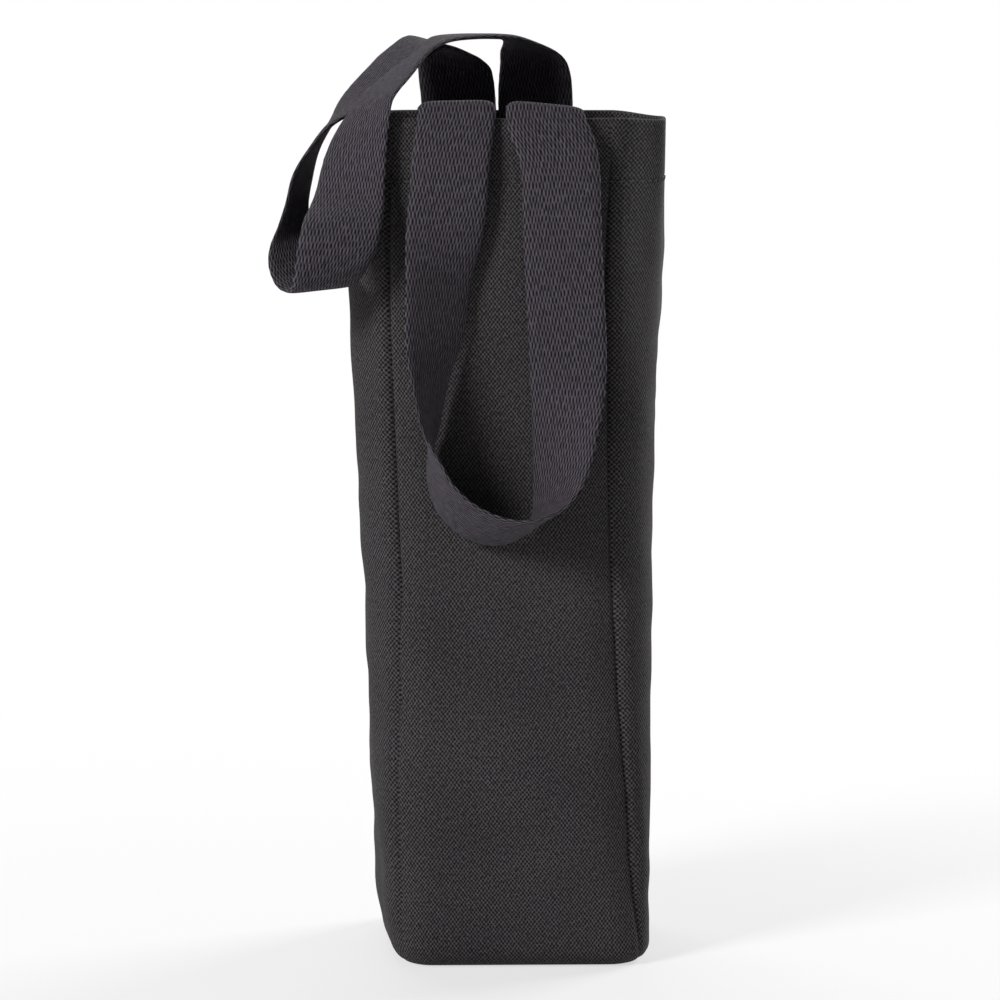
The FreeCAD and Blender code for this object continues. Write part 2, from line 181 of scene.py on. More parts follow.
def weaveGroup():
    # threads over one and under one, so that high and low spots stand in staggered rows; the material paints
    # the low spots in shade
    tree, entry, leave = newGroup(
        "staggeredWeave",
        (("Vector", "NodeSocketVector"), ("Across", "NodeSocketFloat"), ("Along", "NodeSocketFloat")),
        ("Height", "Slub"),
    )

    def swing(vector, scale, amount):
        # noise about zero
        return calc(tree, "MULTIPLY", calc(tree, "SUBTRACT", noiseAt(tree, vector, scale), 0.5), amount)

    split = tree.nodes.new("ShaderNodeSeparateXYZ")
    tree.links.new(entry.outputs["Vector"], split.inputs[0])
    x = calc(tree, "DIVIDE", split.outputs[0], entry.outputs["Across"])
    y = calc(tree, "DIVIDE", split.outputs[1], entry.outputs["Along"])
    spot = joined(tree, calc(tree, "MULTIPLY", x, 2.0), y)
    drift = swing(spot, weaveForm["driftScale"], weaveForm["drift"])
    bow = swing(joined(tree, y, x), weaveForm["bowScale"], weaveForm["bow"])
    x = calc(tree, "ADD", x, drift)
    y = calc(tree, "ADD", y, bow)
    xWave = calc(tree, "COSINE", calc(tree, "MULTIPLY", x, 2 * math.pi))
    yWave = calc(tree, "COSINE", calc(tree, "MULTIPLY", y, math.pi))
    uneven = swing(spot, weaveForm["unevenScale"], weaveForm["uneven"])
    checks = calc(tree, "MULTIPLY", calc(tree, "MULTIPLY", xWave, yWave), weaveForm["contrast"])
    height = calc(tree, "ADD", calc(tree, "ADD", checks, weaveForm["middle"]), uneven)
    height.node.use_clamp = True
    slub = noiseAt(tree, spot, weaveForm["slubScale"], weaveForm["slubDetail"])
    tree.links.new(height, leave.inputs["Height"])
    tree.links.new(slub, leave.inputs["Slub"])
    return tree


def fadeGroup():
    # soft lighter and darker blotches over the cloth
    tree, entry, leave = newGroup(
        "softBlotches",
        (("Vector", "NodeSocketVector"), ("Size", "NodeSocketFloat"), ("Depth", "NodeSocketFloat")),
        ("Fade",),
    )
    vector = tree.nodes.new("ShaderNodeVectorMath")
    vector.operation = "SCALE"
    tree.links.new(entry.outputs["Vector"], vector.inputs[0])
    tree.links.new(entry.outputs["Size"], vector.inputs["Scale"])
    wide = calc(tree, "SUBTRACT", noiseAt(tree, vector.outputs[0], scale=1.0, detail=3.0), 0.5)
    fade = calc(tree, "ADD", calc(tree, "MULTIPLY", wide, entry.outputs["Depth"]), 1.0)
    tree.links.new(fade, leave.inputs["Fade"])
    return tree


clothSurface = {"roughness": 0.92, "specular": 0.12, "sheenRoughness": 0.6}


def clothMaterial(name, finish):
    material = bpy.data.materials.new(name)
    material.use_nodes = True
    tree = material.node_tree
    shader = tree.nodes["Principled BSDF"]
    uv = tree.nodes.new("ShaderNodeUVMap")
    uv.uv_map = "weave"
    threads = tree.nodes.new("ShaderNodeGroup")
    threads.node_tree = weave
    threads.inputs["Across"].default_value = finish["pitch"][0]
    threads.inputs["Along"].default_value = finish["pitch"][1]
    tree.links.new(uv.outputs[0], threads.inputs["Vector"])
    fade = tree.nodes.new("ShaderNodeGroup")
    fade.node_tree = fades
    place = tree.nodes.new("ShaderNodeTexCoord")
    tree.links.new(place.outputs["Object"], fade.inputs["Vector"])
    fade.inputs["Size"].default_value = finish["fadeSize"]
    fade.inputs["Depth"].default_value = finish["fadeDepth"]
    slub = calc(tree, "MULTIPLY", threads.outputs["Slub"], finish["slub"])
    slub = calc(tree, "ADD", slub, 1.0 - finish["slub"] / 2)
    # painted shade: where the weave is low, the colour goes towards the finish's darkest colour, which
    # stands for shadow between the threads
    shade = calc(tree, "MULTIPLY", calc(tree, "POWER", threads.outputs["Height"], finish["gap"]), slub)
    shade = calc(tree, "MULTIPLY", shade, fade.outputs["Fade"])
    yarn = tree.nodes.new("ShaderNodeMix")
    yarn.data_type = "RGBA"
    yarn.inputs["A"].default_value = (*finish["cool"], 1)
    yarn.inputs["B"].default_value = (*finish["warm"], 1)
    tree.links.new(threads.outputs["Slub"], yarn.inputs["Factor"])
    yarnAndPitShade = tree.nodes.new("ShaderNodeMix")
    yarnAndPitShade.data_type = "RGBA"
    yarnAndPitShade.inputs["A"].default_value = (*finish["pitShade"], 1)
    tree.links.new(yarn.outputs["Result"], yarnAndPitShade.inputs["B"])
    tree.links.new(shade, yarnAndPitShade.inputs["Factor"])
    tree.links.new(yarnAndPitShade.outputs["Result"], shader.inputs["Base Color"])
    bump = tree.nodes.new("ShaderNodeBump")
    bump.inputs["Strength"].default_value = finish["relief"]
    bump.inputs["Distance"].default_value = finish["reliefDepth"]
    tree.links.new(threads.outputs["Height"], bump.inputs["Height"])
    tree.links.new(bump.outputs[0], shader.inputs["Normal"])
    shader.inputs["Roughness"].default_value = clothSurface["roughness"]
    shader.inputs["Specular IOR Level"].default_value = clothSurface["specular"]
    shader.inputs["Sheen Weight"].default_value = finish["sheen"]
    shader.inputs["Sheen Roughness"].default_value = clothSurface["sheenRoughness"]
    return material


# the darkest colour of each finish is painted shade for the hollows between threads; cool and warm are the
# yarn's own colours
canvasFinish = {
    "pitch": (0.00124, 0.00081),       # repeat across and between rows, metres
    "pitShade": (0.004, 0.0036, 0.0043), "cool": (0.078, 0.073, 0.081), "warm": (0.088, 0.082, 0.081),
    "gap": 1.15, "slub": 2.4, "fadeSize": 26, "fadeDepth": 0.8,
    "relief": 0.75, "reliefDepth": 0.00015, "sheen": 0.02,
}
webbingFinish = {
    "pitch": (0.00114, 0.00217),
    "pitShade": (0.005, 0.0041, 0.0056), "cool": (0.094, 0.082, 0.106), "warm": (0.106, 0.091, 0.106),
    "gap": 1.1, "slub": 1.8, "fadeSize": 30, "fadeDepth": 0.35,
    "relief": 0.7, "reliefDepth": 0.0003, "sheen": 0.03,
}
threadFinish = {
    "pitch": (0.0006, 0.0003),
    "pitShade": (0.012, 0.011, 0.0125), "cool": (0.115, 0.108, 0.115), "warm": (0.122, 0.112, 0.108),
    "gap": 1.0, "slub": 0.5, "fadeSize": 40, "fadeDepth": 0.3,
    "relief": 0.5, "reliefDepth": 0.0001, "sheen": 0.05,
}
fades = fadeGroup()
weave = weaveGroup()
canvas = clothMaterial("canvas", canvasFinish)
webbing = clothMaterial("webbing", webbingFinish)
thread = clothMaterial("thread", threadFinish)
print("materials made")


hemRow = {                             # the stitches that hold the hem, mm
    "drop": 20.5, "pitch": 2.9, "length": 2.0, "thick": 0.6, "sink": 0.0,
    "dimple": 0.4, "dimpleReach": 0.8,
    "lines": (-1.4, -0.6, 0, 0.6, 1.4),
    "segments": 6,
}
bag = {
    "levels": (                        # height, width, depth and corner, mm
        (11, 88.6, 88, 15), (55, 91.2, 90, 19), (134, 96, 90, 24), (221, 101.4, 88, 24),
        (280, 102.6, 80, 12.5),
    ),
    "baseRound": 7,
    "canvas": 0.9,
    "hem": 22,
    "hemGap": 0.2,
    "leastCorner": 0.4,                # radius kept where an inset takes up the corner
    "cells": (42, 38),                 # base grid, across and front to back
    "baseSteps": 8,
    "baseCalm": 4,                     # smoothing passes over the base grid
    "rowStep": 2.2,
    "foldSteps": 6,                    # over the turn of the hem
    "hemRows": 9,                      # down its inner layer
    "snap": 0.01,                      # cuts join points nearer than this
    "allowance": 8,
    "allowanceGap": 1.2,               # between a seam's two allowances, in canvas thicknesses
    "seams": ((0, 39.5), (23, 39.2), (56, 37.5), (90, 36.3), (136, 35.0), (221, 35.5), (280, 35.0)),
    "seamPlane": 39.5,
    "onSeam": 0.05,
    "grooveLines": (-5, -2.6, -1.5, -0.8, -0.35, 0, 0.35, 0.8, 1.5, 2.6, 5),
    # depth and reach of the groove in which each panel meets its seam
    "groove": {"bodyPanel": (0.8, 0.6), "leftGusset": (2.5, 0.9), "rightGusset": (1.9, 0.9)},
    "grooveTop": (4, 34),              # below the rim: where it starts and is whole
    "grooveFoot": (0.2, 2, 18),        # share left at the base, and where it grows
    "grooveLeft": (0.3, 100, 150),     # share left low on the left side, and where it grows
    "valley": (2.8, 14, 5),            # depth at the right front seam, reach into panel and gusset
    "valleyDeeper": (0.5, 180, 230),   # share gained, and between which heights
    "valleyNarrower": (0.5, 225, 262),  # share lost, and between which heights
    "ridge": (0.8, 3.4, 2.2),          # height, place beside the seam and width of the gusset's fold
    "ridgeTop": (2, 40),               # below the rim
    "foldFoot": (4, 30),               # heights between which folds and rumples start
}
stance = {                             # how the standing bag leans and rumples, mm and degrees
    "pinch": {-1: 0.2, 1: 0.5},        # share by which the sides close in at the rim
    "pinchSide": (34, 50),
    "pinchHeight": (165, 285),
    "pinchPlace": -4,                  # depth that the sides close in to
    "pinchSpread": 3.4,                # how far they move out for it
    "twist": ((0, 1.2), (23, 1.1), (56, 0.9), (90, 0.6), (136, 0.0), (221, -2.3), (280, -1.9)),
    "frontShift": ((0, 3.8), (23, 3.3), (56, 2.1), (90, 1.2), (136, 0.0), (221, -0.7), (280, -0.5)),
    "frontReach": (-10, 44),           # depths before the middle between which the shift grows
    "cornerDip": 1.1,                  # at the right of the rim
    "dipSide": (36, 52),
    "dipHeight": (240, 280),
    "footSlip": (2.6, 0.4),            # how far the left and the right foot come in
    "footSide": (20, 44),
    "footHeight": 15,
    "rumple": 0.9,
    "rumpleTop": (225, 262),
    "waves": (                         # share, size level and upright, and place in the noise
        (1.0, 38, 30, (3.1, 1.7, 0.4)), (0.6, 17, 11, (7.7, 2.2, 5.1)),
    ),
    "calm": 0.75,                      # share by which the wall is calmer behind the hanging handle
    "calmHeight": (130, 165),
    "calmDepth": (30, 40),
    "dentSide": -20,
    "dents": (                         # place across, height, reach across, reach up, depth
        (-36, 130, 6, 90, 0.6), (12, 62, 24, 12, -1.5), (-12, 40, 18, 8, 1.4), (20, 88, 16, 8, 1.3),
        (-18, 78, 20, 7, -1.2), (28, 30, 12, 14, 1.2), (-24, 22, 12, 7, 1.3), (6, 118, 22, 10, 1.0),
    ),
}
rim = bag["levels"][-1][0]


def ringSpot(around, width, depth, corner, inset, height):
    # a place on a rounded rectangle: 0 to 1 along the front, then right, back and left
    corner = max(corner - inset, bag["leastCorner"])
    flatX = width / 2 - inset - corner
    flatY = depth / 2 - inset - corner
    side = int(around) % 4
    along = around - int(around)
    flat = flatX if side in (0, 2) else flatY
    arc = corner * math.pi / 4
    walk = along * (2 * arc + 2 * flat) - arc - flat
    if walk < -flat:
        turn = (walk + flat) / corner
        spot = Vector((-flat + corner * math.sin(turn), -corner * math.cos(turn)))
    elif walk > flat:
        turn = (walk - flat) / corner
        spot = Vector((flat + corner * math.sin(turn), -corner * math.cos(turn)))
    else:
        spot = Vector((walk, -corner))
    spot.y -= flatY if side in (0, 2) else flatX
    spot.rotate(Matrix.Rotation(math.pi / 2 * side, 2))
    return Vector((spot.x, spot.y, height)), 2 * arc + 2 * flat


def bagRings():
    # each ring: level sizes, inset, height and how far up the cloth it lies, mm
    base = bag["levels"][0][1:]
    half = bag["canvas"] / 2
    bend = bag["baseRound"] - half
    rings = []
    for step in range(bag["baseSteps"] + 1):
        lean = step / bag["baseSteps"] * math.pi / 2
        inset = half + bend * (1 - math.sin(lean))
        height = half + bend * (1 - math.cos(lean))
        rings.append((base, inset, height, bend * (lean - math.pi / 2)))
    fold = half + bag["hemGap"] / 2
    top = rim - fold - half
    rows = round((top - bag["baseRound"]) / bag["rowStep"])
    for row in range(1, rows + 1):
        height = bag["baseRound"] + (top - bag["baseRound"]) * row / rows
        rings.append((smoothAt(bag["levels"], height), half, height, height - bag["baseRound"]))
    climb = top - bag["baseRound"]
    for step in range(1, bag["foldSteps"] + 1):
        lean = step / bag["foldSteps"] * math.pi
        inset = half + fold * (1 - math.cos(lean))
        height = top + fold * math.sin(lean)
        rings.append((bag["levels"][-1][1:], inset, height, climb + fold * lean))
    climb += fold * math.pi
    for row in range(1, bag["hemRows"] + 1):
        height = top - (bag["hem"] - fold - half) * row / bag["hemRows"]
        rings.append((smoothAt(bag["levels"], height), half + 2 * fold, height, climb + top - height))
    return rings


def cutPlane(bm, place, way):
    parts = bm.verts[:] + bm.edges[:] + bm.faces[:]
    bmesh.ops.bisect_plane(bm, geom=parts, dist=bag["snap"], plane_co=place, plane_no=way)


def bagSkin():
    cellsX, cellsY = bag["cells"]
    nearEdge = 0.9999
    bm = bmesh.new()
    layerNames = ("around", "acrossStrip", "acrossGusset", "climb")
    layers = [bm.verts.layers.float.new(name) for name in layerNames]
    bmesh.ops.create_grid(bm, x_segments=cellsX, y_segments=cellsY, size=1)
    rings = bagRings()
    sizes, inset, height, climb = rings[0]
    for vert in bm.verts:
        x, y = vert.co.x, vert.co.y
        if y < -nearEdge:
            around = (x + 1) / 2
        elif x > nearEdge:
            around = 1 + (y + 1) / 2
        elif y > nearEdge:
            around = 2 + (1 - x) / 2
        else:
            around = 3 + (1 - y) / 2
        vert[layers[0]] = around % 4
        outX = sizes[0] / 2 - inset
        outY = sizes[1] / 2 - inset
        vert.co = Vector((x * outX, y * outY, height))
        vert[layers[1]] = x * outX
        vert[layers[2]] = y * outY
        vert[layers[3]] = climb - outY + abs(y) * outY
    loop = [edge for edge in bm.edges if edge.is_boundary]
    border = {vert for edge in loop for vert in edge.verts}

    def lay(verts, sizes, inset, height, climb):
        for vert in verts:
            around = vert[layers[0]]
            side = int(around) % 4
            along = around - int(around)
            wide = ringSpot(0, *sizes, inset, height)[1]
            deep = ringSpot(1, *sizes, inset, height)[1]
            vert.co = ringSpot(around, *sizes, inset, height)[0]
            vert[layers[3]] = climb
            if side == 0:
                vert[layers[1]] = (along - 0.5) * wide
                vert[layers[2]] = -deep / 2 - min(along, 1 - along) * wide
            elif side == 1:
                vert[layers[1]] = wide / 2 + along * deep
                vert[layers[2]] = (along - 0.5) * deep
            elif side == 2:
                vert[layers[1]] = (0.5 - along) * wide
                vert[layers[2]] = deep / 2 + min(along, 1 - along) * wide
            else:
                vert[layers[1]] = -wide / 2 - (1 - along) * deep
                vert[layers[2]] = (0.5 - along) * deep

    lay(border, *rings[0])
    inner = [vert for vert in bm.verts if vert not in border]
    for _ in range(bag["baseCalm"]):
        bmesh.ops.smooth_vert(
            bm, verts=inner, factor=0.5, use_axis_x=True, use_axis_y=True, use_axis_z=False,
        )
    for ring in rings[1:]:
        made = bmesh.ops.extrude_edge_only(bm, edges=loop)["geom"]
        loop = [item for item in made if isinstance(item, bmesh.types.BMEdge)]
        verts = [item for item in made if isinstance(item, bmesh.types.BMVert)]
        lay(verts, *ring)
    # cut along the seams, with finer rows of faces beside them
    for vert in bm.verts:
        vert.co.x *= bag["seamPlane"] / smoothAt(bag["seams"], vert.co.z)[0]
    for side in (-1, 1):
        for line in bag["grooveLines"]:
            cutPlane(bm, (side * (bag["seamPlane"] + line), 0, 0), (1, 0, 0))
    for vert in bm.verts:
        vert.co.x *= smoothAt(bag["seams"], vert.co.z)[0] / bag["seamPlane"]
    for line in hemRow["lines"]:
        cutPlane(bm, (0, 0, rim - hemRow["drop"] + line), (0, 0, 1))
    bmesh.ops.recalc_face_normals(bm, faces=bm.faces[:])
    bm.normal_update()
    return bm


def seamDistance(spot):
    return abs(spot.x) - smoothAt(bag["seams"], spot.z)[0]


def settle(spot):
    # how the standing bag leans, twists and rumples, mm
    x, y, z = spot
    closing = stance["pinch"][math.copysign(1, x)]
    closing *= smoothStep(*stance["pinchSide"], abs(x)) * smoothStep(*stance["pinchHeight"], z)
    x += math.copysign(stance["pinchSpread"] * closing, x)
    y -= (y - stance["pinchPlace"]) * closing
    angle = math.radians(smoothAt(stance["twist"], z)[0])
    front = smoothStep(*stance["frontReach"], -y)
    x, y = x * math.cos(angle) - y * math.sin(angle), x * math.sin(angle) + y * math.cos(angle)
    x += smoothAt(stance["frontShift"], z)[0] * front
    z -= stance["cornerDip"] * smoothStep(*stance["dipSide"], x) * smoothStep(*stance["dipHeight"], z)
    low = math.exp(-((z / stance["footHeight"]) ** 2))
    leftSlip, rightSlip = stance["footSlip"]
    near, far = stance["footSide"]
    x += low * (leftSlip * smoothStep(near, far, -x) - rightSlip * smoothStep(near, far, x))
    out = Vector((x, y, 0))
    if out.length > 1:
        out.normalize()
    wall = smoothStep(*bag["foldFoot"], z) * (1 - smoothStep(*stance["rumpleTop"], z))
    behind = smoothStep(*stance["calmHeight"], z) * smoothStep(*stance["calmDepth"], -y)
    push = 0
    for share, level, upright, place in stance["waves"]:
        push += share * noise.noise(Vector((x / level, y / level, z / upright)) + Vector(place))
    push *= stance["rumple"] * wall * (1 - stance["calm"] * behind)
    if y < stance["dentSide"]:
        for across, height, reachX, reachZ, depth in stance["dents"]:
            push -= depth * math.exp(-((x - across) / reachX) ** 2 - ((z - height) / reachZ) ** 2)
    return Vector((x, y, z)) + out * push


def cornerOut(spot):
    # the level way out of the bag's wall at this place
    width, depth, corner = smoothAt(bag["levels"], max(spot.z, bag["levels"][0][0]))
    steepest = 0.98
    lean = min(max((abs(spot.x) - width / 2 + corner) / corner, 0), steepest)
    return Vector((math.copysign(lean, spot.x), math.copysign(math.sqrt(1 - lean * lean), spot.y), 0))


def foldAt(spot):
    # soft folds of the wall beside the front seams
    if spot.y > 0:
        return Vector()
    gap = seamDistance(spot)
    height, place, reach = bag["ridge"]
    start, whole = bag["ridgeTop"]
    fold = height * smoothStep(rim - start, rim - whole, spot.z) * math.exp(-(((gap - place) / reach) ** 2))
    if spot.x > 0:
        deep, panelReach, gussetReach = bag["valley"]
        gain, low, high = bag["valleyDeeper"]
        deep *= 1 + gain * smoothStep(low, high, spot.z)
        loss, low, high = bag["valleyNarrower"]
        panelReach *= 1 - loss * smoothStep(low, high, spot.z)
        fold -= deep * math.exp(-((gap / (panelReach if gap < 0 else gussetReach)) ** 2))
    return cornerOut(spot) * fold * smoothStep(*bag["foldFoot"], spot.z)


def grooveAt(name, spot):
    # how deep a panel sinks beside its seam
    deep, wide = bag["groove"][name]
    start, whole = bag["grooveTop"]
    share, low, high = bag["grooveFoot"]
    deep *= smoothStep(rim - start, rim - whole, spot.z)
    deep *= share + (1 - share) * smoothStep(low, high, spot.z)
    if spot.x < 0:
        share, low, high = bag["grooveLeft"]
        deep *= share + (1 - share) * smoothStep(low, high, spot.z)
    return deep * math.exp(-((seamDistance(spot) / wide) ** 2))


def bagPanel(name, skin, keep):
    bm = skin.copy()
    names = ("acrossStrip" if name == "bodyPanel" else "acrossGusset", "climb")
    across, climb = (bm.verts.layers.float[layer] for layer in names)
    drop = [face for face in bm.faces if not keep(face.calc_center_median())]
    bmesh.ops.delete(bm, geom=drop, context="FACES")
    uv = bm.loops.layers.uv.new("weave")
    for face in bm.faces:
        for corner in face.loops:
            corner[uv].uv = (corner.vert[across] * mm, corner.vert[climb] * mm)
    inside = bag["canvas"] * bag["allowanceGap"]
    bm.normal_update()
    moves = {}
    seam = []
    for vert in bm.verts:
        sink = grooveAt(name, vert.co)
        offRow = (vert.co.z - rim + hemRow["drop"]) / hemRow["dimpleReach"]
        sink += hemRow["dimple"] * math.exp(-(offRow ** 2))
        if vert[climb] > rim - bag["baseRound"]:
            sink = 0                   # the hem's turned-in layer lies flat
        moves[vert] = vert.normal * -sink + foldAt(vert.co)
    for edge in bm.edges:
        onSeam = all(abs(seamDistance(vert.co)) < bag["onSeam"] for vert in edge.verts)
        below = all(vert.co.z < rim - bag["hem"] for vert in edge.verts)
        if edge.is_boundary and onSeam and below:
            seam.append(edge)
    normals = {vert: vert.normal.copy() for edge in seam for vert in edge.verts}
    places = {tuple(round(c, 3) for c in vert.co): normals[vert] for vert in normals}
    made = bmesh.ops.extrude_edge_only(bm, edges=seam)["geom"]
    toward = -1 if name == "bodyPanel" else 1
    for item in made:
        if isinstance(item, bmesh.types.BMVert):
            away = places[tuple(round(c, 3) for c in item.co)].copy()
            away.x = 0
            away.normalize()
            side = math.copysign(1, item.co.x) * toward
            moves[item] = -away * bag["allowance"] + Vector((side * inside / 2, 0, 0))
    for vert in bm.verts:
        vert.co = settle(vert.co + moves[vert]) * mm
    bmesh.ops.recalc_face_normals(bm, faces=bm.faces[:])
    piece = finishPiece(name, bm, canvas)
    wall = piece.modifiers.new("canvas", "SOLIDIFY")
    wall.thickness = bag["canvas"] * mm
    wall.offset = 0
    return piece


skin = bagSkin()
bodyPanel = bagPanel("bodyPanel", skin, lambda spot: seamDistance(spot) < 0)
leftGusset = bagPanel("leftGusset", skin, lambda spot: seamDistance(spot) > 0 and spot.x < 0)
rightGusset = bagPanel("rightGusset", skin, lambda spot: seamDistance(spot) > 0 and spot.x > 0)
skin.free()
panelNodes = ((bodyPanel, "body_panel"), (leftGusset, "left_gusset"), (rightGusset, "right_gusset"))
for piece, node in panelNodes:
    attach(piece, "bag")
    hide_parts(node)
print("bag made")


strap = {
    "width": 25.4,
    "thickness": 1.9,
    "columns": 22,
    "step": 1.6,
    "calm": 5,                         # smoothing passes along the webbing
    "fuzz": 0.16,
    "fuzzPlace": (700, 4, 0.3),        # along for a metre, across for half a width, and level in the noise
    "edgeDrop": (1.3, 281, 286),       # how far the edges lie lower over the front rim, between heights
    "roundness": 5,                    # powers by which the section, the fuzz and the drop keep to the edge
    "fuzzEdge": 3,
    "dropEdge": 9,
    "widest": 1.15,                    # most that a slanting station is widened
    "tabHeights": (252, 262, 272, 278),
}


def strapSection(turn):
    # place across and through the webbing, each from -1 to 1
    half = turn * 2
    across = 1 - 2 * half if half < 1 else 2 * half - 3
    through = math.sqrt(max(1 - abs(across) ** strap["roundness"], 0))
    return across, through if half < 1 else -through


def calmed(row):
    inner = [(a + b * 2 + c) / 4 for a, b, c in zip(row, row[1:], row[2:])]
    return [row[0]] + inner + [row[-1]]


def strapPiece(name, stations):
    # stations are pairs of opposite edges of the webbing, metres
    middles = [(a + b) / 2 for a, b in stations]
    halves = [(a - b) / 2 for a, b in stations]
    marks = [0.0]
    for here, after in zip(middles, middles[1:]):
        marks.append(marks[-1] + (after - here).length)
    table = [(mark, *middle, *half) for mark, middle, half in zip(marks, middles, halves)]
    count = round(marks[-1] / (strap["step"] * mm))
    line = []
    lay = []
    for number in range(count + 1):
        values = smoothAt(table, marks[-1] * number / count)
        line.append(Vector(values[:3]))
        lay.append(Vector(values[3:]))
    for _ in range(strap["calm"]):
        line = calmed(line)
        lay = calmed(lay)
    bm = bmesh.new()
    turn = bm.verts.layers.float.new("turn")
    along = bm.verts.layers.float.new("along")
    segments = 2 * strap["columns"]
    ring = bmesh.ops.create_circle(bm, cap_ends=False, segments=segments, radius=1)["verts"]
    for number, vert in enumerate(ring):
        vert[turn] = number / segments
    loop = bm.edges[:]
    length = 0.0
    often, sideways, level = strap["fuzzPlace"]
    drop, low, high = strap["edgeDrop"]

    def lie(verts, number):
        before = line[max(number - 1, 0)]
        after = line[min(number + 1, count)]
        run = (after - before).normalized()
        square = (lay[number] - run * lay[number].dot(run)).length
        wide = lay[number] * min(strap["width"] * mm / 2 / square, strap["widest"])
        thick = run.cross(wide).normalized()
        for vert in verts:
            across, through = strapSection(vert[turn])
            fuzz = noise.noise(Vector((length * often, across * sideways, level)))
            fuzz *= strap["fuzz"] * mm * abs(across) ** strap["fuzzEdge"]
            vert.co = line[number] + wide * across + wide.normalized() * fuzz
            vert.co += thick * (through * strap["thickness"] * mm / 2)
            if name == "frontHandle":
                over = smoothStep(low * mm, high * mm, vert.co.z)
                vert.co.z -= drop * mm * over * abs(across) ** strap["dropEdge"]
            vert[along] = length

    lie(ring, 0)
    ends = [loop]
    for number in range(1, count + 1):
        length += (line[number] - line[number - 1]).length
        made = bmesh.ops.extrude_edge_only(bm, edges=loop)["geom"]
        loop = [item for item in made if isinstance(item, bmesh.types.BMEdge)]
        lie([item for item in made if isinstance(item, bmesh.types.BMVert)], number)
    ends.append(loop)
    uv = bm.loops.layers.uv.new("weave")
    for face in bm.faces:
        for corner in face.loops:
            across = strapSection(corner.vert[turn])[0]
            corner[uv].uv = (across * strap["width"] * mm / 2, corner.vert[along])
    for end in ends:
        bmesh.ops.edgeloop_fill(bm, edges=end)
    bmesh.ops.recalc_face_normals(bm, faces=bm.faces[:])
    piece = finishPiece(name, bm, webbing)
    print(name, "is", round(length / mm, 1), "mm long")
    return piece, length


def tabPair(x, y, z, outer):
    # the two edges of the webbing where it lies flat against the hem
    half = outer * strap["width"] / 2
    return Vector((x + half, y, z)) * mm, Vector((x - half, y, z)) * mm


frontHandle = {
    # place across, outer side, and rise of the outer and the inner edge over the rim
    "tabs": ((-16.2, -1, 5.6, 6.2), (12.4, 1, 3.4, 6.6)),
    "tabDepth": -36.6,
    "fold": (-39.25, 280.3, 2.55),     # depth, height and reach of the turn over the rim
    "foldSteps": 6,
    "outerEdge": (                     # pixel and depth
        (411, 160, -46), (409, 195, -47.5), (407, 228, -52), (406.5, 252, -57.5),
        (406, 280, -61.2), (405.5, 308, -62.3), (405, 334, -63.2), (408.6, 369, -67.8),
        (415.2, 405, -70.4), (422, 432, -71.6), (430, 446, -72), (438, 458, -71.5),
        (451, 482, -70.5), (469, 500, -69.5), (491, 513, -70), (516, 521, -71),
        (535, 521, -72), (551, 516, -71.5), (568, 507, -70), (579, 494, -68),
        (589, 476, -65.5), (597, 441, -61.5), (604, 405, -57), (607.5, 369, -51),
        (608, 333, -49.5), (605, 280, -48.5), (602.5, 220, -48.5), (600, 160, -46.8),
    ),
    "innerEdge": (                     # the same stations
        (490, 160, -46), (488, 195, -47), (483.5, 228, -47.2), (478, 252, -47.2),
        (471, 280, -46.7), (467.5, 308, -46.7), (464.5, 334, -46.7), (452.3, 369, -46.7),
        (443.4, 405, -46.7), (438, 432, -46.7), (431, 449, -46.7), (427, 470, -47),
        (432, 500, -47.3), (447, 526, -47.6), (472, 542, -48), (496, 546, -48),
        (518, 539, -48), (530, 528, -48), (533, 512, -47.8), (533, 494, -47.7),
        (532.5, 476, -47.6), (532, 441, -47.4), (531, 405, -47.3), (528.5, 369, -47.1),
        (526.5, 333, -48), (523.5, 280, -48), (521.5, 220, -48.5), (518.5, 160, -46.8),
    ),
}


def seenStations(handle):
    edges = zip(handle["outerEdge"], handle["innerEdge"])
    return [(pixelPoint(*outer), pixelPoint(*inner)) for outer, inner in edges]


def frontStations():
    depth, height, radius = frontHandle["fold"]
    ends = []
    for x, outer, outerRise, innerRise in frontHandle["tabs"]:
        end = [tabPair(x, frontHandle["tabDepth"], z, outer) for z in strap["tabHeights"]]
        for step in range(frontHandle["foldSteps"] + 1):
            lean = step / frontHandle["foldSteps"] * math.pi
            pair = tabPair(x, depth + radius * math.cos(lean), height, outer)
            for spot, rise in zip(pair, (outerRise, innerRise)):
                spot.z += rise * mm * math.sin(lean)
            end.append(pair)
        ends.append(end)
    return ends[0] + seenStations(frontHandle) + ends[1][::-1]


